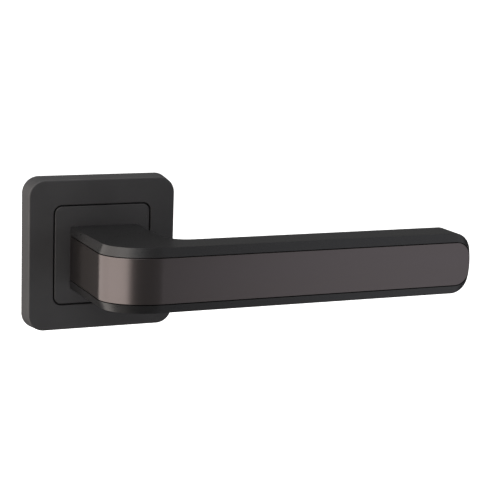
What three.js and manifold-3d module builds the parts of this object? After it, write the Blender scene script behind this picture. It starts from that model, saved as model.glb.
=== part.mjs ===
// Door lever handle on a square rose: a bent bar lever with a decorative strip let into its outer
// face, turning on a sprung rose. Millimetres, +Z up. The origin is on the door face, on the
// spindle's axis; +X runs along the grip, -Y points out of the door and +Y into it.

import * as THREE from 'three';
import { mergeVertices } from 'three/addons/utils/BufferGeometryUtils.js';
import Module from 'manifold-3d';

const wasm = await Module();
wasm.setup();

// ---------------------------------------------------------------- driving dimensions

const GAP = 0.3;                // clearance between neighbouring pieces
const OVERLAP = 0.4;            // how far joined shapes reach into each other
const SLIVER = 0.003;           // edges shorter than this are closed up after a cut

// rose
const ROSE = 52;                // width of the square cover at the door
const ROSE_FRONT = 50.9;        // width at its front face
const ROSE_DEPTH = 7.1;
const ROSE_CORNER = 5.6;
const COVER_WALL = 1.3;
const COVER_FACE = 1.4;         // thickness of the cover's front
const COVER_EDGE = 0.5;         // rounding of the front edges
const WINDOW = 34.2;            // square opening the inlay sits in
const GROOVE = 0.6;             // shadow groove round the inlay
const INLAY_CORNER = 2.4;
const INLAY_BACK = -5.4;
const FLANGE_BACK = -4.7;       // back of the inlay's hidden flange
const FLANGE = 36;

// layers behind the cover, as y positions
const HOUSING_FRONT = -4.4;
const HOUSING_FLOOR = -3.8;
const HOUSING_BACK = -1.9;
const PLATE_FRONT = -1.6;
const PLATE = 47.4;

// fixings
const BOLT_SPACING = 38;        // standard centres of the bolt-through fixings
const BOLT_R = 1.95;
const BOLT_HEAD_R = 3.5;
const BOLT_END = 17;             // the bolts end in sleeves of the door's other handle
const BOSS_R = 4.2;
const BOSS_LENGTH = 6.5;
const SCREW_AT = 18;            // wood screws, from the axis both ways
const SCREW_R = 1.75;
const SCREW_HEAD_R = 3.4;
const SCREW_END = 16;

// return spring and its drive
const WIRE_R = 0.6;
const SPRING_R = 12.3;
const DRIVE_Y = -2.7;           // mid-plane of the spring and the drive plate
const DRIVE_T = 1.2;
const HUB_R = 10.8;
const LUG_R = 14.2;
const LUG_HALF = 2.3;
const LEG_X = LUG_HALF + GAP + WIRE_R;
const LEG_END = 15.3;
const CAVITY_R = 13.7;
const POCKET_R = 16.1;
const POCKET_HALF_ANGLE = 75;
const HOUSING_R = 17.4;
const TAB_INNER = 9.4;          // stop tab of the drive plate
const TAB_OUTER = 10.6;
const TAB_HALF_ANGLE = 10;
const TRAVEL = 45;              // turning angle of the lever

// cassette's rivets and the parts on the shaft
const RIVET_R = 1.2;
const RIVET_HEAD_R = 2.2;
const RIVET_AT = 20.2;
const RIVET_ANGLE = 150;        // from +Z, both ways
const EAR_R = 3.4;
const EAR_T = 1;
const BUSH_R = 8;
const BUSH_FLANGE_R = 10.5;
const WASHER_R = 9.8;
const WASHER_FRONT = 1.2;
const WASHER_BACK = 1.6;
const RING_R = 9.2;
const RING_FRONT = 1.9;
const RING_BACK = 2.7;
const RING_HALF_GAP = 30;       // half the retaining ring's opening, in degrees

// spigot and spindle
const SPINDLE = 8;
const SQUARE_BORE = 8.6;
const SPINDLE_FRONT = -27.5;
const SPINDLE_END = 42;
const COLLAR_R = 9;
const SOCKET_R = 8;             // the spigot inside the neck
const SHAFT_R = 7;
const DRIVE_SQUARE = 14.2;
const DRIVE_CORNER_R = 8.7;
const COLLAR_BACK = -3.6;
const SHAFT_END = 4.2;
const RING_GROOVE_R = 6.4;

// lever
const NECK_BACK = -11;
const FACE_X = -12.6;           // outer side face of the neck
const FACE_Y = -53;             // outer front face of the grip
const NECK_INNER_X = 10.9;
const GRIP_BACK = -40.45;
const BEND_R = 17.5;
const INNER_BEND_R = 8.5;
const TIP_X = 116.6;
const FAR_X = TIP_X + 5;        // the bar is drawn past the tip, then cut to the tip's outline
const HALF_HEIGHT = 10.46;
const TIP_END_R = 32;           // the tip's end is slightly convex
const TIP_CORNER_R = 6.5;
const TIP_RIM = 0.8;            // width of the bevel round the tip
const BEVEL_Z = 7.47;           // the bevels start at this height
const BEVEL_DEPTH = 1.38;
const BEVEL_DEPTH_AT_NECK = 0.2;
const BEND_SEGMENTS = 8;        // facets of a quarter bend, in pairs
const INSERT_T = 1.2;
const INSERT_HALF = BEVEL_Z - 0.15;
const INSERT_CORNER = 5;
const INSERT_RIM = 0.95;        // from the strip's end to the tip

const GRUB_Y = -19;             // grub screw under the neck
const GRUB_R = 2.5;

// ---------------------------------------------------------------- materials

function finish(hex, roughness, metalness) {
  return new THREE.MeshStandardMaterial({ color: hex, roughness, metalness });
}
const matteBlack = finish(0x2b2b2d, 0.5, 0.3);
const graphite = finish(0x4b4648, 0.32, 0.85);
const zincSteel = finish(0xb4b7ba, 0.4, 0.9);
const blackNylon = finish(0x1d1d1f, 0.6, 0);
const paleNylon = finish(0xd9d6cc, 0.55, 0);
const springSteel = finish(0x8d8f92, 0.35, 0.9);
const castZinc = finish(0x8f9193, 0.5, 0.8);

// ---------------------------------------------------------------- helpers

function solid(geometry) {
  geometry.deleteAttribute('normal');
  geometry.deleteAttribute('uv');
  const merged = mergeVertices(geometry, 1e-4);
  return new wasm.Manifold(new wasm.Mesh({
    numProp: 3,
    vertProperties: new Float32Array(merged.attributes.position.array),
    triVerts: new Uint32Array(merged.index.array),
  }));
}

function toMesh(name, material, body) {
  const result = body.simplify(SLIVER).getMesh();
  const geometry = new THREE.BufferGeometry();
  geometry.setAttribute('position', new THREE.BufferAttribute(result.vertProperties, 3));
  geometry.setIndex(new THREE.BufferAttribute(result.triVerts, 1));
  geometry.computeVertexNormals();
  const mesh = new THREE.Mesh(geometry, material);
  mesh.name = name;
  return mesh;
}

// A flat outline in X-Z, pushed through Y from back to front.
function slab(shape, back, front, segments = 12) {
  const options = { depth: back - front, bevelEnabled: false, curveSegments: segments };
  return solid(new THREE.ExtrudeGeometry(shape, options).rotateX(Math.PI / 2).translate(0, back, 0));
}

// A flat outline in X-Y, pushed through Z evenly both ways.
function prism(shape, halfHeight, segments = BEND_SEGMENTS) {
  const options = { depth: 2 * halfHeight, bevelEnabled: false, curveSegments: segments };
  return solid(new THREE.ExtrudeGeometry(shape, options).translate(0, 0, -halfHeight));
}

// A round bar along Y.
function bar(radius, back, front, x = 0, z = 0, segments = 48) {
  const geometry = new THREE.CylinderGeometry(radius, radius, back - front, segments);
  return solid(geometry.translate(x, (back + front) / 2, z));
}

function box(x0, x1, y0, y1, z0, z1) {
  const geometry = new THREE.BoxGeometry(x1 - x0, y1 - y0, z1 - z0);
  return solid(geometry.translate((x0 + x1) / 2, (y0 + y1) / 2, (z0 + z1) / 2));
}

function roundedSquare(width, radius) {
  const h = width / 2;
  const c = h - radius;
  const quarter = Math.PI / 2;
  return new THREE.Shape()
    .moveTo(h, -c)
    .lineTo(h, c)
    .absarc(c, c, radius, 0, quarter, false)
    .lineTo(-c, h)
    .absarc(-c, c, radius, quarter, 2 * quarter, false)
    .lineTo(-h, -c)
    .absarc(-c, -c, radius, 2 * quarter, 3 * quarter, false)
    .lineTo(c, -h)
    .absarc(c, -c, radius, 3 * quarter, 4 * quarter, false);
}

// A sector of a ring between two angles in degrees, measured from +Z towards +X.
function ringSector(inner, outer, from, to) {
  const start = THREE.MathUtils.degToRad(90 - from);
  const end = THREE.MathUtils.degToRad(90 - to);
  return new THREE.Shape()
    .absarc(0, 0, outer, start, end, true)
    .absarc(0, 0, inner, end, start, false);
}

// A strip of even thickness along a polyline of [x, y] points.
function ribbon(points, thickness) {
  const path = points.map(([x, y]) => new THREE.Vector2(x, y));
  const left = [];
  const right = [];
  path.forEach((point, i) => {
    const before = path[Math.max(i - 1, 0)];
    const after = path[Math.min(i + 1, path.length - 1)];
    const along = after.clone().sub(before).normalize();
    const across = new THREE.Vector2(-along.y, along.x).multiplyScalar(thickness / 2);
    left.push(point.clone().add(across));
    right.push(point.clone().sub(across));
  });
  return new THREE.Shape([...left, ...right.reverse()]);
}

// ---------------------------------------------------------------- rose

// Square block with rounded corners and front edges, a little narrower at the front.
function coverBlock(width, front, back, corner, edge) {
  const options = {
    depth: back - front - 2 * edge,
    bevelEnabled: edge > 0,
    bevelThickness: edge,
    bevelSize: edge,
    bevelOffset: -edge,
    bevelSegments: 3,
    curveSegments: 6,
  };
  const geometry = new THREE.ExtrudeGeometry(roundedSquare(width, corner), options);
  geometry.rotateX(Math.PI / 2).translate(0, back - edge, 0);
  const draft = (1 - ROSE_FRONT / ROSE) / ROSE_DEPTH;
  const position = geometry.attributes.position;
  for (let i = 0; i < position.count; i += 1) {
    const narrowing = 1 + draft * position.getY(i);
    position.setX(i, position.getX(i) * narrowing);
    position.setZ(i, position.getZ(i) * narrowing);
  }
  return solid(geometry);
}

function roseCover() {
  const behindDoorFace = box(-ROSE, ROSE, 0, 10, -ROSE, ROSE);
  const outside = coverBlock(ROSE, -ROSE_DEPTH, 2, ROSE_CORNER, COVER_EDGE)
    .subtract(behindDoorFace);
  const hollow = coverBlock(ROSE - 2 * COVER_WALL, -ROSE_DEPTH + COVER_FACE, 3,
    ROSE_CORNER - COVER_WALL, 0);
  const opening = slab(roundedSquare(WINDOW, INLAY_CORNER + GROOVE), 0, -ROSE_DEPTH - 1, 4);
  return toMesh('rose_cover', matteBlack, outside.subtract(hollow).subtract(opening));
}

function roseInlay() {
  const width = WINDOW - 2 * GROOVE;
  const face = slab(roundedSquare(width, INLAY_CORNER), INLAY_BACK + OVERLAP, -ROSE_DEPTH, 4);
  const flange = slab(roundedSquare(FLANGE, INLAY_CORNER + GROOVE), FLANGE_BACK, INLAY_BACK, 4);
  const collarHole = bar(COLLAR_R + GAP, 0, -ROSE_DEPTH - 1);
  return toMesh('rose_inlay', matteBlack, face.add(flange).subtract(collarHole));
}

function mountingPlate() {
  let body = slab(roundedSquare(PLATE, ROSE_CORNER - 1.5), 0, PLATE_FRONT, 4);
  for (const side of [-1, 1]) {
    const x = side * BOLT_SPACING / 2;
    body = body.add(bar(BOSS_R, BOSS_LENGTH, PLATE_FRONT / 2, x, 0, 32));
    body = body.subtract(bar(BOLT_R + GAP, BOSS_LENGTH + 1, PLATE_FRONT - 1, x, 0, 24));
    for (const up of [-1, 1]) {
      const at = [side * SCREW_AT, up * SCREW_AT];
      body = body.subtract(bar(SCREW_R + GAP, 1, PLATE_FRONT - 1, ...at, 24));
    }
    const [rx, rz] = rivetCentre(side);
    body = body.subtract(bar(RIVET_R + GAP, 1, PLATE_FRONT - 1, rx, rz, 20));
  }
  body = body.subtract(bar(BUSH_R + GAP, 1, PLATE_FRONT - 1));
  const slot = ringSector(TAB_INNER - GAP, TAB_OUTER + GAP,
    180 - TAB_HALF_ANGLE - 2, 180 + TRAVEL + TAB_HALF_ANGLE + 2);
  body = body.subtract(slab(slot, 1, PLATE_FRONT - 1, 12));
  return toMesh('mounting_plate', zincSteel, body);
}

// ---------------------------------------------------------------- spring cassette

function rivetCentre(side) {
  const angle = THREE.MathUtils.degToRad(RIVET_ANGLE);
  return [side * RIVET_AT * Math.sin(angle), RIVET_AT * Math.cos(angle)];
}

function springHousing() {
  let body = bar(HOUSING_R, HOUSING_BACK, HOUSING_FRONT, 0, 0, 64);
  for (const side of [-1, 1]) {
    const [x, z] = rivetCentre(side);
    body = body.add(bar(EAR_R, HOUSING_BACK, HOUSING_BACK - EAR_T, x, z, 24));
  }
  const cavity = bar(CAVITY_R, 0, HOUSING_FLOOR, 0, 0, 64);
  const pocket = slab(ringSector(CAVITY_R - 1, POCKET_R, -POCKET_HALF_ANGLE, POCKET_HALF_ANGLE),
    0, HOUSING_FLOOR, 24);
  body = body.subtract(cavity.add(pocket));
  body = body.subtract(bar(COLLAR_R + GAP, 0, HOUSING_FRONT - 1));
  for (const side of [-1, 1]) {
    const [x, z] = rivetCentre(side);
    body = body.subtract(bar(RIVET_R + GAP, 0, HOUSING_FRONT - 1, x, z, 20));
    body = body.subtract(bar(BOLT_HEAD_R + GAP, 0, HOUSING_FRONT - 1, side * BOLT_SPACING / 2, 0, 32));
  }
  const block = box(-LUG_HALF, LUG_HALF, HOUSING_FRONT, HOUSING_BACK, LUG_R + GAP, POCKET_R + 0.6);
  return toMesh('spring_housing', blackNylon, body.add(block));
}

// One open turn of wire with both ends bent outwards, either side of the drive lug.
class SpringWire extends THREE.Curve {
  getPoint(t, target = new THREE.Vector3()) {
    const legStart = Math.sqrt(SPRING_R ** 2 - LEG_X ** 2);
    const leg = LEG_END - legStart;
    const gapAngle = Math.asin(LEG_X / SPRING_R);
    const turn = (2 * Math.PI - 2 * gapAngle) * SPRING_R;
    const along = t * (turn + 2 * leg);
    if (along < leg) return target.set(LEG_X, DRIVE_Y, LEG_END - along);
    if (along > leg + turn) return target.set(-LEG_X, DRIVE_Y, legStart + along - leg - turn);
    const angle = gapAngle + (along - leg) / SPRING_R;
    return target.set(SPRING_R * Math.sin(angle), DRIVE_Y, SPRING_R * Math.cos(angle));
  }
}

function returnSpring() {
  const section = new THREE.Shape().absarc(0, 0, WIRE_R, 0, 2 * Math.PI, false);
  const options = { extrudePath: new SpringWire(), steps: 72, curveSegments: 5, bevelEnabled: false };
  return toMesh('return_spring', springSteel, solid(new THREE.ExtrudeGeometry(section, options)));
}

function drivePlate() {
  const back = DRIVE_Y + DRIVE_T / 2;
  const front = DRIVE_Y - DRIVE_T / 2;
  let body = bar(HUB_R, back, front);
  body = body.add(box(-LUG_HALF, LUG_HALF, front, back, HUB_R - 2, LUG_R));
  const tab = ringSector(TAB_INNER, TAB_OUTER, 180 - TAB_HALF_ANGLE, 180 + TAB_HALF_ANGLE);
  body = body.add(slab(tab, PLATE_FRONT / 4, back - 0.2, 4));
  return toMesh('drive_plate', zincSteel, body.subtract(driveSquare(0, -5, GAP)));
}

function bearingBush() {
  const flangeBack = 3 * GAP;
  let body = bar(BUSH_R, flangeBack, PLATE_FRONT + 0.1);
  body = body.add(bar(BUSH_FLANGE_R, flangeBack, GAP));
  return toMesh('bearing_bush', paleNylon, body.subtract(bar(SHAFT_R + GAP, 5, -5)));
}

function waveWasher() {
  const ring = bar(WASHER_R, WASHER_BACK, WASHER_FRONT);
  return toMesh('wave_washer', springSteel, ring.subtract(bar(SHAFT_R + GAP, 5, -5)));
}

function retainingRing() {
  const ring = ringSector(RING_GROOVE_R + GAP, RING_R, RING_HALF_GAP, 360 - RING_HALF_GAP);
  return toMesh('retaining_ring', springSteel, slab(ring, RING_BACK, RING_FRONT, 16));
}

function housingRivet(name, side) {
  const [x, z] = rivetCentre(side);
  const head = HOUSING_BACK - EAR_T - GAP;
  const shank = bar(RIVET_R, -0.1, head - OVERLAP, x, z, 20);
  const body = shank.add(bar(RIVET_HEAD_R, head, head - 0.7, x, z, 20));
  return toMesh(name, zincSteel, body);
}

// ---------------------------------------------------------------- fixings

// A pan head with a crossed recess, on a shank that points into the door.
function screw(name, x, z, shankR, headR, end, pointLength) {
  const profile = [
    [0, HOUSING_FRONT],
    [headR - 0.8, HOUSING_FRONT],
    [headR, HOUSING_FRONT + 0.8],
    [headR, HOUSING_BACK],
    [shankR, HOUSING_BACK],
    [shankR, end - pointLength],
    [shankR / 2, end],
    [0, end],
  ];
  const points = profile.map(([r, y]) => new THREE.Vector2(r, y));
  let body = solid(new THREE.LatheGeometry(points, 24));
  const arm = headR * 0.55;
  const half = 0.45;
  const floor = HOUSING_FRONT + 1.4;
  body = body.subtract(box(-arm, arm, HOUSING_FRONT - 1, floor, -half, half));
  body = body.subtract(box(-half, half, HOUSING_FRONT - 1, floor, -arm, arm));
  return toMesh(name, zincSteel, body.translate([x, 0, z]));
}

// A bent leaf on the plate's edge that grips the inside of the cover.
function coverClip(name, up) {
  const leaf = [[17.9, -2.1], [22.2, -2.1], [22.9, -2.6], [23.6, -3.5], [23.2, -4.5], [22.4, -5.2]];
  const options = { depth: 10, bevelEnabled: false };
  const geometry = new THREE.ExtrudeGeometry(ribbon(leaf, 0.4), options);
  geometry.translate(0, 0, -5).rotateY(-Math.PI / 2);
  if (up < 0) geometry.rotateY(Math.PI);
  return toMesh(name, springSteel, solid(geometry));
}

// ---------------------------------------------------------------- spigot and spindle

// The square that carries the drive plate, its corners turned off round.
function driveSquare(back, front, clearance) {
  const half = DRIVE_SQUARE / 2 + clearance;
  const square = box(-half, half, front, back, -half, half);
  return square.intersect(bar(DRIVE_CORNER_R + clearance, back, front));
}

function neckSpigot() {
  let body = bar(SOCKET_R, COLLAR_BACK, SPINDLE_FRONT - 0.5);
  body = body.add(bar(COLLAR_R, COLLAR_BACK, NECK_BACK + GAP));
  body = body.add(driveSquare(HOUSING_BACK, COLLAR_BACK - OVERLAP, 0));
  body = body.add(bar(SHAFT_R, SHAFT_END, HOUSING_BACK - OVERLAP));
  const groove = bar(20, RING_BACK + GAP, RING_FRONT - GAP).subtract(bar(RING_GROOVE_R, 4, 0));
  const half = SQUARE_BORE / 2;
  body = body.subtract(groove).subtract(box(-half, half, -40, 10, -half, half));
  return toMesh('neck_spigot', castZinc, body.subtract(grubHole()));
}

function spindle() {
  const half = SPINDLE / 2;
  const chamfer = 0.8;
  const outline = new THREE.Shape()
    .moveTo(half, chamfer - half)
    .lineTo(half, half - chamfer)
    .lineTo(half - chamfer, half)
    .lineTo(chamfer - half, half)
    .lineTo(-half, half - chamfer)
    .lineTo(-half, chamfer - half)
    .lineTo(chamfer - half, -half)
    .lineTo(half - chamfer, -half);
  return toMesh('spindle', zincSteel, slab(outline, SPINDLE_END, SPINDLE_FRONT));
}

function upright(radius, bottom, top, y, segments) {
  const geometry = new THREE.CylinderGeometry(radius, radius, top - bottom, segments);
  return solid(geometry.rotateX(Math.PI / 2).translate(0, y, (top + bottom) / 2));
}

function grubHole() {
  return upright(GRUB_R + GAP, -HALF_HEIGHT - 1, 0, GRUB_Y, 24);
}

function grubScrew() {
  const bottom = -HALF_HEIGHT + 0.5;
  const top = -SPINDLE / 2 - GAP;
  const socket = upright(1.44, bottom - 1, bottom + 2.4, GRUB_Y, 6);
  const body = upright(GRUB_R, bottom, top, GRUB_Y, 24).subtract(socket);
  return toMesh('grub_screw', zincSteel, body);
}

// ---------------------------------------------------------------- lever

// Adds the lever's outer face to a plan outline, from the neck round the bend and past the tip,
// set inwards by an offset.
function outerFace(shape, offset, backwards = false) {
  const bendX = FACE_X + BEND_R;
  const bendY = FACE_Y + BEND_R;
  if (backwards) {
    return shape
      .lineTo(FAR_X, FACE_Y + offset)
      .lineTo(bendX, FACE_Y + offset)
      .absarc(bendX, bendY, BEND_R - offset, 1.5 * Math.PI, Math.PI, true);
  }
  return shape
    .lineTo(FACE_X + offset, bendY)
    .absarc(bendX, bendY, BEND_R - offset, Math.PI, 1.5 * Math.PI, false)
    .lineTo(FAR_X, FACE_Y + offset);
}

function leverPlan() {
  const shape = new THREE.Shape().moveTo(FACE_X, NECK_BACK);
  const innerBendX = NECK_INNER_X + INNER_BEND_R;
  return outerFace(shape, 0)
    .lineTo(FAR_X, GRIP_BACK)
    .lineTo(innerBendX, GRIP_BACK)
    .absarc(innerBendX, GRIP_BACK + INNER_BEND_R, INNER_BEND_R, 1.5 * Math.PI, Math.PI, true)
    .lineTo(NECK_INNER_X, NECK_BACK);
}

// The strip's plan: a band along the outer face between two depths.
function stripPlan(outer, inner, start) {
  const shape = new THREE.Shape().moveTo(FACE_X + outer, start);
  return outerFace(outerFace(shape, outer), inner, true).lineTo(FACE_X + inner, start);
}

// The outline seen from the front: straight long sides, a slightly convex end, round corners. The
// end is set back from the tip by a rim.
function tipOutline(halfHeight, corner, rim) {
  const endR = TIP_END_R - rim;
  const endX = TIP_X - TIP_END_R;
  const cornerZ = halfHeight - corner;
  const cornerX = endX + Math.sqrt((endR - corner) ** 2 - cornerZ ** 2);
  const meet = Math.atan2(cornerZ, cornerX - endX);
  return new THREE.Shape()
    .moveTo(-30, -halfHeight)
    .lineTo(cornerX, -halfHeight)
    .absarc(cornerX, -cornerZ, corner, -Math.PI / 2, -meet, false)
    .absarc(endX, 0, endR, -meet, meet, false)
    .absarc(cornerX, cornerZ, corner, meet, Math.PI / 2, false)
    .lineTo(-30, halfHeight);
}

// Everything behind the outer face, with the bevels above and below it. On the neck the bevels
// fade out towards the rose.
function bevelledBlock() {
  const far = 140;
  const shape = new THREE.Shape()
    .moveTo(FACE_X, 0)
    .lineTo(FACE_X, FACE_Y + BEND_R)
    .absarc(FACE_X + BEND_R, FACE_Y + BEND_R, BEND_R, Math.PI, 1.5 * Math.PI, false)
    .lineTo(far, FACE_Y)
    .lineTo(far, 0);
  const geometry = new THREE.ExtrudeGeometry(shape, {
    depth: 2 * BEVEL_Z,
    bevelThickness: HALF_HEIGHT - BEVEL_Z,
    bevelSize: BEVEL_DEPTH,
    bevelOffset: -BEVEL_DEPTH,
    bevelSegments: 1,
    curveSegments: BEND_SEGMENTS,
  });
  geometry.translate(0, 0, -BEVEL_Z);
  const bendStart = FACE_Y + BEND_R;
  const fade = (BEVEL_DEPTH - BEVEL_DEPTH_AT_NECK) / (NECK_BACK - bendStart);
  const position = geometry.attributes.position;
  for (let i = 0; i < position.count; i += 1) {
    const onCap = Math.abs(position.getZ(i)) > BEVEL_Z + 1;
    if (onCap && position.getX(i) < 0 && position.getY(i) > NECK_BACK) {
      position.setX(i, position.getX(i) - fade * (position.getY(i) - bendStart));
    }
  }
  return solid(geometry);
}

// The bar's outline, with the bevels carried round the tip as a narrow rim.
function bevelledTip() {
  const full = slab(tipOutline(HALF_HEIGHT, TIP_CORNER_R, 0), 10, FACE_Y + BEVEL_DEPTH, 6);
  const face = slab(tipOutline(BEVEL_Z, INSERT_CORNER, TIP_RIM), FACE_Y + 0.01, FACE_Y, 6);
  return wasm.Manifold.hull([full, face]);
}

function leverBody() {
  const bent = prism(leverPlan(), HALF_HEIGHT).intersect(bevelledBlock()).intersect(bevelledTip());
  const end = tipOutline(INSERT_HALF + GAP, INSERT_CORNER + GAP, INSERT_RIM - GAP);
  const recess = prism(stripPlan(-1, INSERT_T + GAP, 0), INSERT_HALF + GAP)
    .intersect(slab(end, 10, FACE_Y - 10, 6));
  const socket = bar(SOCKET_R + GAP, 0, SPINDLE_FRONT - 0.5 - GAP);
  return toMesh('lever_body', matteBlack, bent.subtract(recess).subtract(socket).subtract(grubHole()));
}

function leverInsert() {
  const band = prism(stripPlan(0, INSERT_T, NECK_BACK - GAP), INSERT_HALF);
  const outline = slab(tipOutline(INSERT_HALF, INSERT_CORNER, INSERT_RIM), 10, FACE_Y - 10, 6);
  return toMesh('lever_insert', graphite, band.intersect(outline));
}

// ---------------------------------------------------------------- assembly

const rose = new THREE.Group();
rose.name = 'rose';
rose.add(roseCover(), roseInlay(), mountingPlate(), springHousing(), returnSpring(), bearingBush());
rose.add(housingRivet('housing_rivet_left', -1), housingRivet('housing_rivet_right', 1));
rose.add(coverClip('cover_clip_upper', 1), coverClip('cover_clip_lower', -1));
for (const [side, x] of [['left', -1], ['right', 1]]) {
  rose.add(screw(`through_bolt_${side}`, x * BOLT_SPACING / 2, 0, BOLT_R, BOLT_HEAD_R, BOLT_END, 0.8));
  for (const [level, z] of [['lower', -1], ['upper', 1]]) {
    const name = `wood_screw_${level}_${side}`;
    rose.add(screw(name, x * SCREW_AT, z * SCREW_AT, SCREW_R, SCREW_HEAD_R, SCREW_END, 4));
  }
}

const lever = new THREE.Group();
lever.name = 'lever';
lever.add(leverBody(), leverInsert(), neckSpigot(), drivePlate(), waveWasher(), retainingRing());
lever.add(spindle(), grubScrew());

const group = new THREE.Group();
group.name = 'door_lever_handle';
group.add(rose, lever);

export default group;
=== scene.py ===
# A door lever handle on a square rose: matt black, with a satin black-nickel strip let into the
# outer face of the lever. Modelled in millimetres and brought to metres piece by piece, in the
# frame of the CAD part: the spindle's axis is Y, the door face is y = 0 and the grip points to +X.

import math

import bpy
from mathutils import Matrix, Vector


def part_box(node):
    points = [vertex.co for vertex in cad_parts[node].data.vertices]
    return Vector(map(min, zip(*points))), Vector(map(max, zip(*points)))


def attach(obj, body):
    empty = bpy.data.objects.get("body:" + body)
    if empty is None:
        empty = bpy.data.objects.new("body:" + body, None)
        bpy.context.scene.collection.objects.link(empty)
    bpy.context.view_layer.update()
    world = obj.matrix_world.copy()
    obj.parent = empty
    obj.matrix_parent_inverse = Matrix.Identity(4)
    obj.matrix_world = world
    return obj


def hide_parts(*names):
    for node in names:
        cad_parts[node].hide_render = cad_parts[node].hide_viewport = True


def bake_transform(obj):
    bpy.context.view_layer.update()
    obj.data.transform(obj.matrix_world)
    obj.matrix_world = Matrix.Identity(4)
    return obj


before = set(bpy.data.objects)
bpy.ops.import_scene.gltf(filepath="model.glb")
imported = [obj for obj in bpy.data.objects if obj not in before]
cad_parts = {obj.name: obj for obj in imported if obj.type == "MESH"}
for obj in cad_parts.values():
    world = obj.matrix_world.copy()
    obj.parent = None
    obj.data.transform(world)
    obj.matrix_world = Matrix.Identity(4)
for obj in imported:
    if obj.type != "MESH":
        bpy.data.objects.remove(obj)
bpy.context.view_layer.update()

MM = 0.001


def node_box(name):
    low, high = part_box(name)
    return low / MM, high / MM


# ---------------------------------------------------------------- camera

CAMERA_AZIMUTH = math.radians(-24.028)
CAMERA_ELEVATION = math.radians(11.355)
CAMERA_ROLL = math.radians(2.019)
CAMERA_DISTANCE = 533.45 * MM
CAMERA_TARGET = Vector((48.658, -20, 1.405)) * MM
LENS = 112.393


def direction(azimuth, elevation):
    """The way from the object to something seen at an azimuth and elevation in radians."""
    level = math.cos(elevation)
    return Vector((math.sin(azimuth) * level, -math.cos(azimuth) * level, math.sin(elevation)))


def make_camera():
    data = bpy.data.cameras.new("camera")
    data.lens = LENS
    data.sensor_width = 36
    camera = bpy.data.objects.new("camera", data)
    bpy.context.scene.collection.objects.link(camera)
    back = direction(CAMERA_AZIMUTH, CAMERA_ELEVATION)
    right = Vector((math.cos(CAMERA_AZIMUTH), math.sin(CAMERA_AZIMUTH), 0))
    up = back.cross(right)
    across = math.cos(CAMERA_ROLL) * right + math.sin(CAMERA_ROLL) * up
    upright = math.cos(CAMERA_ROLL) * up - math.sin(CAMERA_ROLL) * right
    turn = Matrix((across, upright, back)).transposed().to_4x4()
    place = Matrix.Translation(CAMERA_TARGET + back * CAMERA_DISTANCE)
    camera.matrix_world = place @ turn
    bpy.context.scene.camera = camera


make_camera()


# ---------------------------------------------------------------- sizes, in mm

COVER_LOW, COVER_HIGH = node_box("rose_cover")
INLAY_LOW, INLAY_HIGH = node_box("rose_inlay")
PLATE_LOW, PLATE_HIGH = node_box("mounting_plate")
LEVER_LOW, LEVER_HIGH = node_box("lever_body")
INSERT_LOW, INSERT_HIGH = node_box("lever_insert")
SPINDLE_LOW, SPINDLE_HIGH = node_box("spindle")

GAP = 0.3                       # between pieces that don't touch
SLIVER = 1e-3                   # points closer than this are one point

# Rose. The cover's front is narrower than its back.
ROSE_CORNER = 5.6
ROSE_NARROWING = 50.9 / 52
COVER_WALL = 1.3
COVER_FACE = 1.4
COVER_EDGE = 0.5
WINDOW = 34.2
INLAY = 33
INLAY_CORNER = 2.4
FLANGE_FRONT = -5.4
COLLAR_R = 9

# Lever. The bar's outer face is at FACE_X along the neck and at FACE_Y along the grip. The bevels
# start BEVEL_Z above and below the middle. The bar is made too long, to FAR_X, and trimmed by a
# block that starts at TRIM_NEAR_X and reaches back to TRIM_BACK_Y.
FACE_X = INSERT_LOW.x
FACE_Y = INSERT_LOW.y
TIP_X = LEVER_HIGH.x
NECK_BACK = LEVER_HIGH.y
HALF_HEIGHT = LEVER_HIGH.z
NECK_INNER_X = 10.9
GRIP_BACK = -40.45
BEND_R = 17.5
INNER_BEND_R = 8.5
FAR_X = TIP_X + 5
TRIM_NEAR_X = -40
TRIM_BACK_Y = 20
TIP_END_R = 32
TIP_CORNER_R = 6.5
TIP_RIM = 0.8
BEVEL_Z = 7.47
BEVEL_DEPTH = 1.38
BEVEL_DEPTH_AT_NECK = 0.2
INSERT_T = 1.2
INSERT_HALF = INSERT_HIGH.z
INSERT_CORNER = 5
INSERT_RIM = TIP_X - INSERT_HIGH.x
SOCKET_R = 8
SPIGOT_FRONT = -28.1
GRUB_Y = -19
GRUB_R = 2.5

# Core and fixings
SPINDLE_HOLE_HALF = 4.3
SHAFT_R = 7
COLLAR_BACK = -3.6
DRIVE_FRONT = -4
DRIVE_SQUARE = 14.2
GROOVE_FRONT, GROOVE_BACK = 1.6, 3
GROOVE_R = 6.4
RING_INNER_R, RING_OUTER_R = 6.7, 9.2
PLIER_HOLE_R = 0.55
WASHER_HALF_T = 0.12
WASHER_WAVE = 0.12
BUSH_R = 8
HOUSING_BACK = -1.9
BOLT_X = 19
BOLT_R = 1.95
BOSS_R = 4.2
SCREW_XZ = 18
SCREW_R = 1.75
SCREW_PLAIN = 2.2               # length without thread under a screw's head
SCREW_POINT = 0.45              # a thread's radius at the screw's point, as a part of the full one
RIVET_HOLE_R = 1.5
RIVET_HEAD_T = 0.7
SLOT_INNER_R, SLOT_OUTER_R = 9.1, 10.9
SLOT_START, SLOT_END = 168, 237  # in degrees from +Z towards +X
WIRE_R = 0.6
SPRING_LEG_X = 3.2
RIVETS = ("housing_rivet_left", "housing_rivet_right")


# ---------------------------------------------------------------- modelling helpers

def activate(piece):
    bpy.ops.object.select_all(action="DESELECT")
    piece.select_set(True)
    bpy.context.view_layer.objects.active = piece


def begin(name):
    """Names the primitive just added and puts its size and place into its mesh."""
    piece = bpy.context.object
    piece.name = name
    piece.data.name = name
    bpy.ops.object.transform_apply(location=True, rotation=True, scale=True)
    return piece


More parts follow.
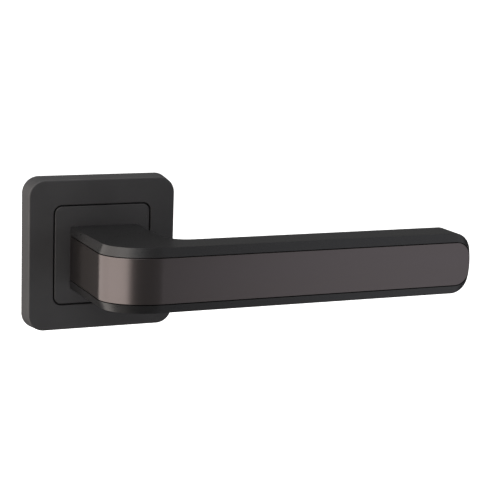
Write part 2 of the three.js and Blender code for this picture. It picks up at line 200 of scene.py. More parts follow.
def block(name, low, high):
    """A block between two corners."""
    bpy.ops.object.select_all(action="DESELECT")
    low, high = Vector(low), Vector(high)
    bpy.ops.mesh.primitive_cube_add(size=1, location=(low + high) / 2, scale=high - low)
    return begin(name)


def bar(name, radius, front, back, x=0, z=0, sides=96):
    """A round bar along the spindle's direction."""
    bpy.ops.object.select_all(action="DESELECT")
    bpy.ops.mesh.primitive_cylinder_add(
        vertices=sides,
        radius=radius,
        depth=back - front,
        location=(x, (front + back) / 2, z),
        rotation=(math.pi / 2, 0, 0),
    )
    return begin(name)


def choose(piece, kind, test):
    """Goes into edit mode with the corners, edges or faces selected whose points all pass a test."""
    activate(piece)
    mesh = piece.data
    for group in (mesh.vertices, mesh.edges, mesh.polygons):
        group.foreach_set("select", [False] * len(group))
    kinds = {"VERT": mesh.vertices, "EDGE": mesh.edges, "FACE": mesh.polygons}
    for item in kinds[kind]:
        corners = [item.index] if kind == "VERT" else item.vertices
        item.select = all(test(mesh.vertices[i].co) for i in corners)
    bpy.context.tool_settings.mesh_select_mode = [kind == k for k in kinds]
    bpy.ops.object.mode_set(mode="EDIT")


def done():
    bpy.ops.object.mode_set(mode="OBJECT")


def near(a, b):
    return abs(a - b) < SLIVER


def round_edges(piece, test, radius, segments):
    """Rounds the edges whose points all pass a test."""
    choose(piece, "EDGE", test)
    bpy.ops.mesh.bevel(offset=radius, segments=segments, profile=0.5, affect="EDGES")
    done()


def apply_modifier(piece, kind, **settings):
    activate(piece)
    modifier = piece.modifiers.new(kind.lower(), kind)
    for name, value in settings.items():
        setattr(modifier, name, value)
    bpy.ops.object.modifier_apply(modifier=modifier.name)


def combine(piece, operation, *others):
    """Adds, cuts away or keeps what is common with other shapes, which are used up."""
    for other in others:
        apply_modifier(piece, "BOOLEAN", operation=operation, object=other, solver="EXACT")
        bpy.data.objects.remove(other)


def join(piece, *others):
    """Puts other shapes into a piece as they are."""
    activate(piece)
    for other in others:
        other.select_set(True)
    bpy.ops.object.join()


def merge(piece, distance=SLIVER / 10):
    """Joins points that lie together and turns all faces outwards."""
    choose(piece, "VERT", lambda p: True)
    bpy.ops.mesh.remove_doubles(threshold=distance)
    bpy.ops.mesh.normals_make_consistent(inside=False)
    done()


def break_edges(piece, width, segments=3, angle=20):
    """Takes the sharpness off all edges and leaves flat faces shading flat. Slivers that the
    booleans leave would hold the bevel back, so they are closed first."""
    merge(piece, SLIVER)
    apply_modifier(
        piece,
        "BEVEL",
        width=width,
        segments=segments,
        limit_method="ANGLE",
        angle_limit=math.radians(angle),
        miter_outer="MITER_ARC",
        use_clamp_overlap=True,
    )
    merge(piece, SLIVER)
    smooth(piece)


def smooth(piece, angle=35):
    """Shades curves smooth and flats flat."""
    activate(piece)
    bpy.ops.object.shade_smooth_by_angle(angle=math.radians(angle))
    apply_modifier(piece, "WEIGHTED_NORMAL", mode="FACE_AREA", keep_sharp=True)


def square_block(name, width, front, back, corner, segments=20):
    """A square block on the spindle's axis with rounded corners."""
    half = width / 2
    piece = block(name, (-half, front, -half), (half, back, half))
    for x in (-half, half):
        for z in (-half, half):
            round_edges(piece, lambda p: near(p.x, x) and near(p.z, z), corner, segments)
    return piece


def ring_sector(name, inner, outer, front, back, start, end, steps=32):
    """Part of a ring between two angles in degrees, measured from +Z towards +X."""
    piece = block(name, (-0.5, front, inner), (0.5, back, outer))
    choose(piece, "FACE", lambda p: p.x > 0)
    bpy.ops.mesh.select_all(action="INVERT")
    bpy.ops.mesh.delete(type="FACE")
    bpy.ops.mesh.select_all(action="SELECT")
    bpy.ops.transform.translate(value=(-0.5, 0, 0))
    done()
    piece.data.transform(Matrix.Rotation(math.radians(start), 4, "Y"))
    choose(piece, "FACE", lambda p: True)
    bpy.ops.mesh.spin(
        steps=steps, angle=math.radians(start - end), center=(0, 0, 0), axis=(0, 1, 0)
    )
    done()
    merge(piece)
    choose(piece, "FACE", lambda p: False)
    bpy.ops.mesh.select_interior_faces()
    bpy.ops.mesh.delete(type="ONLY_FACE")
    done()
    return piece


def finish_piece(piece, body, material, *stands_for):
    """Brings a piece to metres and to its body, finish and CAD node. A piece with no body is left
    unattached."""
    piece.data.transform(Matrix.Scale(MM, 4))
    piece.data.materials.clear()
    piece.data.materials.append(material)
    if body:
        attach(piece, body)
    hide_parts(*stands_for)


# ---------------------------------------------------------------- lever

def lever_bar(name, half_height, inset, neck_back, spread=0):
    """The bent bar in plan, run on past the tip, with the same height all over. Its outer face is
    set inwards and its inner face spread outwards."""
    x, y = FACE_X + inset, FACE_Y + inset
    inner_x, grip_back = NECK_INNER_X + spread, GRIP_BACK + spread
    piece = block(name, (x, grip_back, -half_height), (inner_x, neck_back, half_height))
    choose(piece, "FACE", lambda p: near(p.y, grip_back))
    bpy.ops.mesh.extrude_region_move(TRANSFORM_OT_translate={"value": (0, y - grip_back, 0)})
    done()
    choose(piece, "FACE", lambda p: near(p.x, inner_x) and p.y < grip_back + 0.01)
    bpy.ops.mesh.extrude_region_move(TRANSFORM_OT_translate={"value": (FAR_X - inner_x, 0, 0)})
    done()
    round_edges(piece, lambda p: near(p.x, x) and near(p.y, y), BEND_R - inset, 40)
    round_edges(piece, lambda p: near(p.x, inner_x) and near(p.y, grip_back), INNER_BEND_R, 24)
    return piece


def end_outline(name, half_height, corner, rim, front, back):
    """A block whose end has the tip's outline, set back by a rim: slightly convex, with round
    corners."""
    end_r = TIP_END_R - rim
    end_x = TIP_X - TIP_END_R
    corner_z = half_height - corner
    corner_x = end_x + math.sqrt((end_r - corner) ** 2 - corner_z ** 2)
    lean = math.atan2(corner_z, corner_x - end_x)
    piece = block(name, (TRIM_NEAR_X, front, -half_height), (corner_x, back, half_height))
    for y in (front, back):
        choose(piece, "EDGE", lambda p: near(p.x, corner_x) and near(p.y, y))
        bpy.ops.mesh.delete(type="EDGE")
        done()
    choose(piece, "EDGE", lambda p: near(p.x, corner_x) and near(p.z, half_height))
    bends = (
        (corner_x, corner_z, math.pi / 2 - lean, 24),
        (end_x, 0, 2 * lean, 48),
        (corner_x, -corner_z, math.pi / 2 - lean, 24),
    )
    for x, z, turn, steps in bends:
        bpy.ops.mesh.spin(steps=steps, angle=-turn, center=(x, 0, z), axis=(0, 1, 0))
    done()
    merge(piece, SLIVER)
    for y in (front, back):
        choose(piece, "EDGE", lambda p: near(p.y, y))
        bpy.ops.mesh.edge_face_add()
        done()
    merge(piece)
    return piece


def bevelled_end(clear=0.02):
    """The tip's outline at full height behind, drawn in to the outline of the face in front."""
    shoulder = FACE_Y + BEVEL_DEPTH
    piece = end_outline("end", HALF_HEIGHT + clear, TIP_CORNER_R, 0, shoulder, TRIM_BACK_Y)
    face = end_outline("end_face", BEVEL_Z + clear, INSERT_CORNER, TIP_RIM, FACE_Y - 1, FACE_Y)
    join(piece, face)
    for y in (shoulder, FACE_Y):
        choose(piece, "FACE", lambda p: near(p.y, y))
        bpy.ops.mesh.delete(type="ONLY_FACE")
        done()
    choose(piece, "EDGE", lambda p: near(p.y, shoulder) or near(p.y, FACE_Y))
    bpy.ops.mesh.bridge_edge_loops()
    done()
    merge(piece)
    return piece


def lever_body():
    """The bent bar with bevels along its outer face, which fade out along the neck and narrow to
    a rim round the tip."""
    piece = lever_bar("lever_body_cast", BEVEL_Z, 0, NECK_BACK)
    bend_x, bend_y = FACE_X + BEND_R, FACE_Y + BEND_R
    shrink = 1 - BEVEL_DEPTH / BEND_R
    for side in (-1, 1):
        level, top = side * BEVEL_Z, side * HALF_HEIGHT
        choose(piece, "FACE", lambda p: near(p.z, level))
        bpy.ops.mesh.extrude_region_move(TRANSFORM_OT_translate={"value": (0, 0, top - level)})
        done()
        choose(
            piece, "VERT", lambda p: near(p.z, top) and near(p.x, FACE_X) and near(p.y, NECK_BACK)
        )
        bpy.ops.transform.translate(value=(BEVEL_DEPTH_AT_NECK, 0, 0))
        done()
        choose(
            piece,
            "VERT",
            lambda p: near(p.z, top) and p.x < bend_x + 0.01 and p.y < bend_y + 0.01,
        )
        bpy.ops.transform.resize(value=(shrink, shrink, 1), center_override=(bend_x, bend_y, top))
        done()
        choose(piece, "VERT", lambda p: near(p.z, top) and near(p.x, FAR_X) and near(p.y, FACE_Y))
        bpy.ops.transform.translate(value=(0, BEVEL_DEPTH, 0))
        done()
    combine(piece, "INTERSECT", bevelled_end())
    recess = strip_band("recess", -1, INSERT_T + GAP, INSERT_HALF + GAP, 0)
    end = end_outline(
        "recess_end",
        INSERT_HALF + GAP,
        INSERT_CORNER + GAP,
        INSERT_RIM - GAP,
        FACE_Y - 10,
        TRIM_BACK_Y,
    )
    combine(recess, "INTERSECT", end)
    socket = bar("socket", SOCKET_R + GAP, SPIGOT_FRONT - 0.2, 0)
    combine(piece, "DIFFERENCE", recess, socket, grub_hole())
    break_edges(piece, 0.15, 3, 18)
    return piece


def grub_hole():
    """A cutter for the screw's hole, from the middle of the neck down."""
    bpy.ops.object.select_all(action="DESELECT")
    depth = HALF_HEIGHT + 1
    bpy.ops.mesh.primitive_cylinder_add(
        vertices=48, radius=GRUB_R + GAP, depth=depth, location=(0, GRUB_Y, -depth / 2)
    )
    return begin("grub_cutter")


def strip_band(name, outer, inner, half_height, neck_back):
    """A band along the outer face between two depths, run on past the tip."""
    band = lever_bar(name, half_height, outer, neck_back)
    core = lever_bar(name + "_core", half_height + 2, inner, neck_back + 5, 3)
    combine(band, "DIFFERENCE", core)
    return band


def lever_insert():
    """The strip let into the outer face, flush with it, its end following the tip's outline."""
    piece = strip_band("lever_strip", 0, INSERT_T, INSERT_HALF, NECK_BACK - GAP)
    end = end_outline(
        "strip_end", INSERT_HALF, INSERT_CORNER, INSERT_RIM, FACE_Y - 10, TRIM_BACK_Y
    )
    combine(piece, "INTERSECT", end)
    break_edges(piece, 0.12, 3, 30)
    return piece


# ---------------------------------------------------------------- rose

def narrow_forward(piece, depth):
    """Draws the front of a block in a little, as the cover's sides are drafted."""
    front = COVER_LOW.y
    choose(piece, "VERT", lambda p: near(p.y, front))
    scale = 1 - (1 - ROSE_NARROWING) * depth
    bpy.ops.transform.resize(value=(scale, 1, scale), center_override=(0, front, 0))
    done()


def rose_cover():
    """A thin square shell, open at the back, with a window for the inlay."""
    front, back = COVER_LOW.y, COVER_HIGH.y
    width = COVER_HIGH.x - COVER_LOW.x
    piece = square_block("rose_cover_shell", width, front, back, ROSE_CORNER, 32)
    narrow_forward(piece, 1)
    round_edges(piece, lambda p: near(p.y, front), COVER_EDGE, 5)
    inside = width - 2 * COVER_WALL
    inside_corner = ROSE_CORNER - COVER_WALL
    hollow = square_block("hollow", inside, front + COVER_FACE, back + 1, inside_corner, 20)
    window_corner = INLAY_CORNER + (WINDOW - INLAY) / 2
    window = square_block("window", WINDOW, front - 1, back, window_corner, 16)
    combine(piece, "DIFFERENCE", hollow, window)
    break_edges(piece, 0.12, 2, 40)
    return piece


def rose_inlay():
    """The square plate in the window, flush with the cover, and its hidden flange."""
    front, back = INLAY_LOW.y, INLAY_HIGH.y
    flange = INLAY_HIGH.x - INLAY_LOW.x
    piece = square_block("rose_inlay_plate", INLAY, front, back - 0.2, INLAY_CORNER, 16)
    step = square_block("inlay_flange", flange, FLANGE_FRONT, back, INLAY_CORNER + 0.6, 16)
    combine(piece, "UNION", step)
    combine(piece, "DIFFERENCE", bar("collar_hole", COLLAR_R + GAP, front - 1, back + 1, sides=128))
    break_edges(piece, 0.2, 3, 40)
    return piece


def mounting_plate():
    """A pressed steel plate with a boss for each bolt, holes for the screws and a curved slot."""
    front, boss_end = PLATE_LOW.y, PLATE_HIGH.y
    piece = square_block(
        "mounting_plate_pressed", PLATE_HIGH.x - PLATE_LOW.x, front, 0, ROSE_CORNER - 1.5, 12
    )
    for side in (-1, 1):
        x = side * BOLT_X
        combine(piece, "UNION", bar("boss", BOSS_R, front / 2, boss_end, x, 0, 64))
        hole = bar("bolt_hole", BOLT_R + GAP, front - 1, boss_end + 1, x, 0, 48)
        combine(piece, "DIFFERENCE", hole)
        x = side * SCREW_XZ
        for z in (-SCREW_XZ, SCREW_XZ):
            hole = bar("screw_hole", SCREW_R + GAP, front - 1, 1, x, z, 40)
            combine(piece, "DIFFERENCE", hole)
    for rivet in RIVETS:
        low, high = node_box(rivet)
        middle = (low + high) / 2
        hole = bar("rivet_hole", RIVET_HOLE_R, front - 1, 1, middle.x, middle.z, 32)
        combine(piece, "DIFFERENCE", hole)
    combine(piece, "DIFFERENCE", bar("bush_hole", BUSH_R + GAP, front - 1, 1, sides=128))
    slot = ring_sector("slot", SLOT_INNER_R, SLOT_OUTER_R, front - 1, 1, SLOT_START, SLOT_END)
    combine(piece, "DIFFERENCE", slot)
    break_edges(piece, 0.12, 2, 40)
    return piece


# ---------------------------------------------------------------- fixings

def thread(name, major, minor, pitch, start, end, taper=0):
    """A helical ridge along Y, closed at both ends, for a core of the minor radius."""
    foot = pitch * 0.7
    piece = block(name, (-0.01, start, minor - 0.15), (0.01, start + foot, major))
    choose(piece, "FACE", lambda p: p.x > 0)
    bpy.ops.mesh.select_all(action="INVERT")
    bpy.ops.mesh.delete(type="FACE")
    done()
    choose(piece, "VERT", lambda p: near(p.z, major))
    bpy.ops.transform.resize(value=(1, 0.15, 1), center_override=(0, start + foot / 2, major))
    done()
    turns = round((end - start) / pitch - 0.7)
    choose(piece, "FACE", lambda p: True)
    bpy.ops.mesh.delete(type="ONLY_FACE")
    done()
    apply_modifier(
        piece,
        "SCREW",
        axis="Y",
        angle=2 * math.pi,
        iterations=turns,
        screw_offset=pitch,
        steps=28,
        render_steps=28,
        use_smooth_shade=False,
    )
    activate(piece)
    bpy.ops.object.mode_set(mode="EDIT")
    bpy.ops.mesh.select_all(action="SELECT")
    bpy.ops.mesh.fill_holes(sides=4)
    bpy.ops.mesh.select_all(action="SELECT")
    bpy.ops.mesh.normals_make_consistent(inside=False)
    done()
    if taper:
        for vertex in piece.data.vertices:
            near_end = max(0, (vertex.co.y - (end - taper)) / taper)
            keep = 1 - near_end * (1 - SCREW_POINT)
            vertex.co.x *= keep
            vertex.co.z *= keep
    return piece


def screw(node, shank, minor, pitch, taper, head_r, material):
    """A pan-head screw with a crossed recess and a real thread, along the door's depth."""
    low, high = node_box(node)
    x, z = (low.x + high.x) / 2, (low.z + high.z) / 2
    front, end = low.y, high.y
    under_head = HOUSING_BACK
    piece = bar(node + "_turned", head_r, front, under_head, sides=64)
    round_edges(piece, lambda p: near(p.y, front), 0.9, 6)
    choose(piece, "FACE", lambda p: near(p.y, under_head))
    bpy.ops.mesh.inset(thickness=head_r - shank)
    bpy.ops.mesh.extrude_region_move(TRANSFORM_OT_translate={"value": (0, SCREW_PLAIN, 0)})
    bpy.ops.mesh.inset(thickness=shank - minor)
    length = end - taper - under_head - SCREW_PLAIN
    bpy.ops.mesh.extrude_region_move(TRANSFORM_OT_translate={"value": (0, length, 0)})
    bpy.ops.mesh.extrude_region_move(TRANSFORM_OT_translate={"value": (0, taper, 0)})
    bpy.ops.transform.resize(value=(0.4, 1, 0.4), center_override=(0, end, 0))
    done()
    arm, half = head_r * 0.55, 0.45
    floor = front + 1.4
    for wide, tall in ((arm, half), (half, arm)):
        slot = block("slot", (-wide, front - 1, -tall), (wide, floor, tall))
        choose(slot, "VERT", lambda p: p.y > front)
        bpy.ops.transform.resize(value=(0.75, 1, 0.75), center_override=(0, floor, 0))
        done()
        combine(piece, "DIFFERENCE", slot)
    break_edges(piece, 0.06, 2, 35)
    start = under_head + SCREW_PLAIN + 0.2
    ridge = thread(node + "_thread", shank, minor, pitch, start, end - 0.2, taper)
    smooth(ridge)
    join(piece, ridge)
    piece.data.transform(Matrix.Translation((x, 0, z)))
    finish_piece(piece, "rose", material, node)


# ---------------------------------------------------------------- spring cassette and spindle

def return_spring():
    """One open turn of round wire, both ends bent outwards in soft corners."""
    low, high = node_box("return_spring")
    y = (low.y + high.y) / 2
    turn_r = high.x - WIRE_R
    leg_x = SPRING_LEG_X
    first = math.asin(leg_x / turn_r)
    angles = [first + 0.08 + (2 * math.pi - 2 * first - 0.16) * i / 60 for i in range(61)]
    route = [(turn_r * math.sin(a), turn_r * math.cos(a)) for a in angles]
    route = [(leg_x, high.z), (leg_x, turn_r + 0.4)] + route
    route = route + [(-leg_x, turn_r + 0.4), (-leg_x, high.z)]
    for _ in range(3):  # each round cuts the corners finer
        steps = list(zip(route, route[1:]))
        cut = [(0.75 * a[0] + 0.25 * b[0], 0.75 * a[1] + 0.25 * b[1]) for a, b in steps]
        rest = [(0.25 * a[0] + 0.75 * b[0], 0.25 * a[1] + 0.75 * b[1]) for a, b in steps]
        route = [route[0]] + [p for pair in zip(cut, rest) for p in pair] + [route[-1]]
    curve = bpy.data.curves.new("return_spring_wire", "CURVE")
    curve.dimensions = "3D"
    curve.bevel_depth = WIRE_R
    curve.bevel_resolution = 5
    curve.use_fill_caps = True
    line = curve.splines.new("POLY")
    line.points.add(len(route) - 1)
    for point, (x, z) in zip(line.points, route):
        point.co = (x, y, z, 1)
    wire = bpy.data.objects.new("return_spring_wire", curve)
    bpy.context.scene.collection.objects.link(wire)
    activate(wire)
    bpy.ops.object.convert(target="MESH")
    merge(wire)
    smooth(wire, 50)
    return wire


def spindle():
    """The square bar, its long edges and ends chamfered."""
    piece = block("spindle_bar", SPINDLE_LOW, SPINDLE_HIGH)
    half = SPINDLE_HIGH.x
    for x in (-half, half):
        for z in (-half, half):
            round_edges(piece, lambda p: near(p.x, x) and near(p.z, z), 0.8, 1)
    for y in (SPINDLE_LOW.y, SPINDLE_HIGH.y):
        round_edges(piece, lambda p: near(p.y, y), 0.5, 1)
    break_edges(piece, 0.08, 2, 20)
    return piece


def neck_spigot():
    """The turned core between lever and rose: socket, collar, drive square and grooved shaft."""
    low, high = node_box("neck_spigot")
    collar_front = NECK_BACK + GAP
    piece = bar("spigot_turned", SOCKET_R, low.y, collar_front + 0.4, sides=128)
    combine(piece, "UNION", bar("collar", COLLAR_R, collar_front, COLLAR_BACK, sides=128))
    square = square_block("drive_square", DRIVE_SQUARE, DRIVE_FRONT, HOUSING_BACK, 1.2, 6)
    shaft = bar("shaft", SHAFT_R, HOUSING_BACK - 0.5, high.y, sides=128)
    combine(piece, "UNION", square, shaft)
    groove = bar("groove", 20, GROOVE_FRONT, GROOVE_BACK, sides=64)
    combine(groove, "DIFFERENCE", bar("groove_floor", GROOVE_R, 1, 4, sides=128))
    hole = SPINDLE_HOLE_HALF
    bore = block("bore", (-hole, low.y - 1, -hole), (hole, high.y + 1, hole))
    combine(piece, "DIFFERENCE", groove, bore, grub_hole())
    break_edges(piece, 0.15, 3, 30)
    return piece


def bearing_bush():
    """A flanged ring for the shaft to turn in."""
    low, high = node_box("bearing_bush")
    piece = bar("bush_turned", BUSH_R, low.y, high.y, sides=128)
    combine(piece, "UNION", bar("bush_flange", high.x, high.y - 0.6, high.y, sides=128))
    combine(piece, "DIFFERENCE", bar("bush_bore", SHAFT_R + GAP, low.y - 1, high.y + 1, sides=128))
    break_edges(piece, 0.12, 3, 40)
    return piece


def wave_washer():
    """A thin spring washer with three waves round it."""
    low, high = node_box("wave_washer")
    middle = (low.y + high.y) / 2
    front, back = middle - WASHER_HALF_T, middle + WASHER_HALF_T
    piece = ring_sector("washer_pressed", SHAFT_R + GAP, high.x, front, back, 0, 360, 120)
    for vertex in piece.data.vertices:
        around = math.atan2(vertex.co.x, vertex.co.z)
        vertex.co.y += WASHER_WAVE * math.cos(3 * around)
    smooth(piece, 40)
    return piece


def retaining_ring():
    """An open ring that snaps into the spigot's groove, with a hole in each end for pliers."""
    low, high = node_box("retaining_ring")
    piece = ring_sector("ring_pressed", RING_INNER_R, RING_OUTER_R, low.y, high.y, 30, 330, 96)
    middle_r = (RING_INNER_R + RING_OUTER_R) / 2
    for angle in (37, -37):
        x = middle_r * math.sin(math.radians(angle))
        z = middle_r * math.cos(math.radians(angle))
        hole = bar("plier_hole", PLIER_HOLE_R, low.y - 1, high.y + 1, x, z, 24)
        combine(piece, "DIFFERENCE", hole)
    break_edges(piece, 0.07, 2, 40)
    return piece


def housing_rivet(node):
    """A domed rivet head on its shank."""
    low, high = node_box(node)
    middle = (low + high) / 2
    head = (high.x - low.x) / 2
    under_head = low.y + RIVET_HEAD_T
    piece = bar(node + "_headed", head, low.y, under_head, sides=48)
    round_edges(piece, lambda p: near(p.y, low.y), 0.55, 5)
    choose(piece, "FACE", lambda p: near(p.y, under_head))
    bpy.ops.mesh.inset(thickness=1)
    shank = (0, high.y - low.y - RIVET_HEAD_T, 0)
    bpy.ops.mesh.extrude_region_move(TRANSFORM_OT_translate={"value": shank})
    done()
    break_edges(piece, 0.05, 2, 40)
    piece.data.transform(Matrix.Translation((middle.x, 0, middle.z)))
    return piece


def refined(node, width, angle=25):
    """A copy of a hidden CAD node with its flat faces joined up and its edges rounded."""
    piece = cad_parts[node].copy()
    piece.data = piece.data.copy()
    piece.name = node + "_finished"
    piece.parent = None
    for key in list(piece.keys()):
        del piece[key]
    bpy.context.scene.collection.objects.link(piece)
    piece.data.transform(Matrix.Scale(1 / MM, 4))
    choose(piece, "VERT", lambda p: True)
    bpy.ops.mesh.remove_doubles(threshold=2e-3)
    bpy.ops.mesh.select_all(action="SELECT")
    bpy.ops.mesh.dissolve_limited(angle_limit=math.radians(1))
    done()
    break_edges(piece, width, 2, angle)
    return piece


# ---------------------------------------------------------------- materials

def linear(colour):
    """An sRGB hex colour as the linear values that the nodes work in."""
    parts = [int(colour[i:i + 2], 16) / 255 for i in (1, 3, 5)]
    return [p / 12.92 if p <= 0.04045 else ((p + 0.055) / 1.055) ** 2.4 for p in parts] + [1]


def add(tree, kind, inputs=None, **settings):
    """Adds a node with its settings, and fills its sockets with values or with other outputs."""
    node = tree.nodes.new(kind)
    for name, value in settings.items():
        setattr(node, name, value)
    for name, value in (inputs or {}).items():
        if isinstance(value, bpy.types.NodeSocket):
            tree.links.new(value, node.inputs[name])
        else:
            node.inputs[name].default_value = value
    return node


def new_material(name, slot):
    material = bpy.data.materials.new(name)
    material.use_nodes = True
    material.node_tree.nodes.clear()
    material["slot"] = slot
    return material, material.node_tree


def surface(name, slot, tone, tone_scale, grain_scale, rough, relief, ramp=(0.3, 0.7), **shader):
    """A material whose tone drifts between two colours in one pattern, and whose gloss and relief
    follow a finer one. Scales are in repeats per metre, relief in metres."""
    material, tree = new_material(name, slot)
    place = add(tree, "ShaderNodeTexCoord").outputs["Object"]
    drift_place = add(tree, "ShaderNodeMapping", {"Vector": place, "Scale": tone_scale})
    grain_place = add(tree, "ShaderNodeMapping", {"Vector": place, "Scale": grain_scale})
    drift = add(
        tree, "ShaderNodeTexNoise", {"Vector": drift_place.outputs[0], "Scale": 1, "Detail": 3}
    )
    grain = add(
        tree, "ShaderNodeTexNoise", {"Vector": grain_place.outputs[0], "Scale": 1, "Detail": 4}
    )
    spread = add(
        tree,
        "ShaderNodeMapRange",
        {"Value": drift.outputs[0], "From Min": ramp[0], "From Max": ramp[1]},
    )
    colour = add(
        tree,
        "ShaderNodeMix",
        {"Factor": spread.outputs[0], "A": linear(tone[0]), "B": linear(tone[1])},
        data_type="RGBA",
    )
    gloss = add(
        tree,
        "ShaderNodeMapRange",
        {
            "Value": grain.outputs[0],
            "From Min": 0.3,
            "From Max": 0.7,
            "To Min": rough[0],
            "To Max": rough[1],
        },
    )
    bump = add(
        tree, "ShaderNodeBump", {"Height": grain.outputs[0], "Distance": relief, "Strength": 1}
    )
    inputs = {
        "Base Color": colour.outputs["Result"],
        "Roughness": gloss.outputs[0],
        "Normal": bump.outputs[0],
        **shader,
    }
    principled = add(tree, "ShaderNodeBsdfPrincipled", inputs)
    output = add(tree, "ShaderNodeOutputMaterial")
    tree.links.new(principled.outputs[0], output.inputs["Surface"])
    return material


def even(scale):
    return (scale, scale, scale)


# Matt black powder coat on the rose: dull, faintly mottled, with a fine leathery grain of about
# 0.4 mm that softens every reflection.
powder_coat = surface(
    "matt_black_powder_coat", "matt_black", ("#3b3b3c", "#414142"), even(60), even(2400),
    (0.38, 0.44), 2e-6, IOR=1.36,
)

# Satin black lacquer on the cast lever and its core: a deeper black with a closer sheen, levelled
# almost flat.
lacquer = surface(
    "satin_black_lacquer", "matt_black", ("#171718", "#1b1b1c"), even(45), even(1600),
    (0.27, 0.33), 1e-6, IOR=1.55,
)

# Black nickel plate on the strip, finely brushed along its length before plating: a warm dark metal
# with soft highlights. Its lines are a quarter of a millimetre apart and hardly show.
black_nickel = surface(
    "brushed_black_nickel", "graphite_metal", ("#66605f", "#676161"), (12, 12, 120), (25, 25, 3800),
    (0.28, 0.285), 1e-8, Metallic=1.0,
)

# Zinc plate on steel: pale, slightly blue, with the cloudy bloom of a chromate rinse.
zinc_plate = surface(
    "zinc_plated_steel", "zinc_plated_steel", ("#a9adb3", "#c3c4c2"), even(180), even(3000),
    (0.3, 0.44), 2e-6, Metallic=1.0,
)

# The bar stock of the spindle: zinc plate over drawn steel, with lines along the bar.
drawn_steel = surface(
    "zinc_plated_drawn_steel", "zinc_plated_steel", ("#a2a6ab", "#bbbdbf"), (900, 30, 900),
    (3200, 40, 3200), (0.26, 0.42), 3e-6, Metallic=1.0,
)

# Spring steel, hardened and oiled: a darker grey-brown with rubbed patches.
oiled_steel = surface(
    "oiled_spring_steel", "spring_steel", ("#5b5a58", "#84837f"), even(300), even(2600),
    (0.28, 0.42), 2e-6, Metallic=1.0,
)

# Moulded nylon, black: a low sheen with the spark-eroded texture of its mould.
black_nylon = surface(
    "moulded_black_nylon", "black_nylon", ("#19191b", "#222224"), even(150), even(2800),
    (0.5, 0.64), 6e-6, IOR=1.53,
)

# Moulded nylon, natural: a milky ivory that yellows slightly where it is thick.
pale_nylon = surface(
    "moulded_natural_nylon", "pale_nylon", ("#d2cdbd", "#e0dccf"), even(120), even(2600),
    (0.42, 0.55), 4e-6, IOR=1.53,
)


# ---------------------------------------------------------------- assembly

finish_piece(rose_cover(), "rose", powder_coat, "rose_cover")
finish_piece(rose_inlay(), "rose", powder_coat, "rose_inlay")
finish_piece(mounting_plate(), "rose", zinc_plate, "mounting_plate")
finish_piece(refined("spring_housing", 0.15), "rose", black_nylon, "spring_housing")
# One leg of the spring stays with the rose and the other is wound up by the lever; here the wire
# gets no body and is baked where it lies.
wound_wire = return_spring()
finish_piece(wound_wire, None, oiled_steel, "return_spring")
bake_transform(wound_wire)
finish_piece(bearing_bush(), "rose", pale_nylon, "bearing_bush")
for rivet in RIVETS:
    finish_piece(housing_rivet(rivet), "rose", zinc_plate, rivet)
for clip in ("cover_clip_upper", "cover_clip_lower"):
    finish_piece(refined(clip, 0.08), "rose", oiled_steel, clip)
for side in ("left", "right"):
    screw("through_bolt_" + side, BOLT_R, 1.6, 0.7, 0.8, 3.5, zinc_plate)
    for level in ("lower", "upper"):
        screw(f"wood_screw_{level}_{side}", SCREW_R, 1.15, 1.6, 4, 3.4, zinc_plate)

finish_piece(lever_body(), "lever", lacquer, "lever_body")
finish_piece(lever_insert(), "lever", black_nickel, "lever_insert")
finish_piece(neck_spigot(), "lever", lacquer, "neck_spigot")
finish_piece(refined("drive_plate", 0.1), "lever", zinc_plate, "drive_plate")
finish_piece(wave_washer(), "lever", oiled_steel, "wave_washer")
finish_piece(retaining_ring(), "lever", oiled_steel, "retaining_ring")
finish_piece(spindle(), "lever", drawn_steel, "spindle")
finish_piece(refined("grub_screw", 0.12), "lever", zinc_plate, "grub_screw")


# ---------------------------------------------------------------- floor and light

LIGHT_CENTRE = Vector((45, -25, 0)) * MM
FLOOR_Z = -0.16
FRONT_AIR = 0.17                # how bright the surround is in front of the door and behind it
BACK_AIR = 0.11


def softbox(name, azimuth, elevation, distance, width, height, brightness, colour):
    """A rectangular studio light that faces the handle. Azimuth and elevation are in degrees."""
    data = bpy.data.lights.new(name, "AREA")
    data.shape = "RECTANGLE"
    data.size = width
    data.size_y = height
    data.energy = brightness * math.pi * width * height
    data.color = linear(colour)[:3]
    light = bpy.data.objects.new(name, data)
    bpy.context.scene.collection.objects.link(light)
    away = direction(math.radians(azimuth), math.radians(elevation))
    light.location = LIGHT_CENTRE + away * distance
    light.rotation_euler = away.to_track_quat("Z", "Y").to_euler()
    light.visible_camera = False


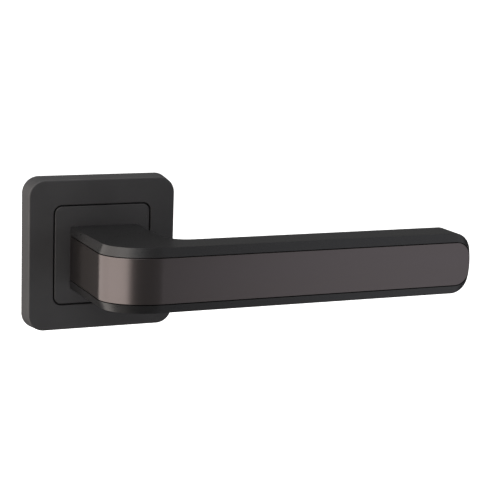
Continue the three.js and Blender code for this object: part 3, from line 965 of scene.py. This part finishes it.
def studio_floor():
    """A wide pale floor, kept out of reflections so that it doesn't grey the black coat. From
    below it is clear, so that the underside can be seen."""
    bpy.ops.object.select_all(action="DESELECT")
    bpy.ops.mesh.primitive_plane_add(size=60, location=(0, 0, FLOOR_Z))
    floor = begin("studio_floor")
    material, tree = new_material("pale_paper_floor", "")
    place = add(tree, "ShaderNodeTexCoord").outputs["Object"]
    mottle = add(tree, "ShaderNodeTexNoise", {"Vector": place, "Scale": 3.0})
    colour = add(
        tree,
        "ShaderNodeMix",
        {"Factor": mottle.outputs[0], "A": linear("#fbfbfb"), "B": linear("#ffffff")},
        data_type="RGBA",
    )
    principled = add(
        tree,
        "ShaderNodeBsdfPrincipled",
        {
            "Base Color": colour.outputs["Result"],
            "Roughness": 0.9,
            "Emission Color": linear("#ffffff"),
            "Emission Strength": 1.0,
        },
    )
    behind = add(tree, "ShaderNodeNewGeometry").outputs["Backfacing"]
    clear = add(tree, "ShaderNodeBsdfTransparent")
    mix = add(
        tree, "ShaderNodeMixShader", {0: behind, 1: principled.outputs[0], 2: clear.outputs[0]}
    )
    output = add(tree, "ShaderNodeOutputMaterial")
    tree.links.new(mix.outputs[0], output.inputs["Surface"])
    floor.data.materials.append(material)
    floor.visible_glossy = False
    floor.visible_diffuse = False


def studio_air():
    """A dim grey surround in reflections and shade, darker behind the handle, and plain white
    where it is seen directly."""
    world = bpy.data.worlds.new("studio")
    bpy.context.scene.world = world
    world.use_nodes = True
    tree = world.node_tree
    tree.nodes.clear()
    way = add(tree, "ShaderNodeTexCoord").outputs["Generated"]
    parts = add(tree, "ShaderNodeSeparateXYZ", {0: way})
    level = add(
        tree,
        "ShaderNodeMapRange",
        {
            "Value": parts.outputs["Y"],
            "From Min": -1,
            "From Max": 1,
            "To Min": FRONT_AIR,
            "To Max": BACK_AIR,
        },
    )
    seen = add(tree, "ShaderNodeLightPath").outputs["Is Camera Ray"]
    dim = add(
        tree, "ShaderNodeBackground", {"Color": linear("#ffffff"), "Strength": level.outputs[0]}
    )
    white = add(tree, "ShaderNodeBackground", {"Color": linear("#ffffff"), "Strength": 1.0})
    mix = add(tree, "ShaderNodeMixShader", {0: seen, 1: dim.outputs[0], 2: white.outputs[0]})
    output = add(tree, "ShaderNodeOutputWorld")
    tree.links.new(mix.outputs[0], output.inputs["Surface"])


studio_floor()
studio_air()
# name, azimuth, elevation, distance, width, height, brightness, colour
softbox("left_softbox_front", -65, 0, 0.8, 0.8, 2.2, 2.0, "#fff7f1")
softbox("left_softbox_back", -116.5, 0, 0.8, 0.75, 2.2, 1.85, "#fff7f1")
softbox("right_fill", 48, -8, 1.0, 1.0, 2.2, 0.6, "#f7f7ff")
softbox("left_top", -48, 60, 1.0, 0.8, 0.6, 2.4, "#ffffff")
softbox("overhead", 180, 80, 1.0, 1.2, 1.2, 0.8, "#ffffff")

bpy.context.scene.view_settings.view_transform = "Standard"
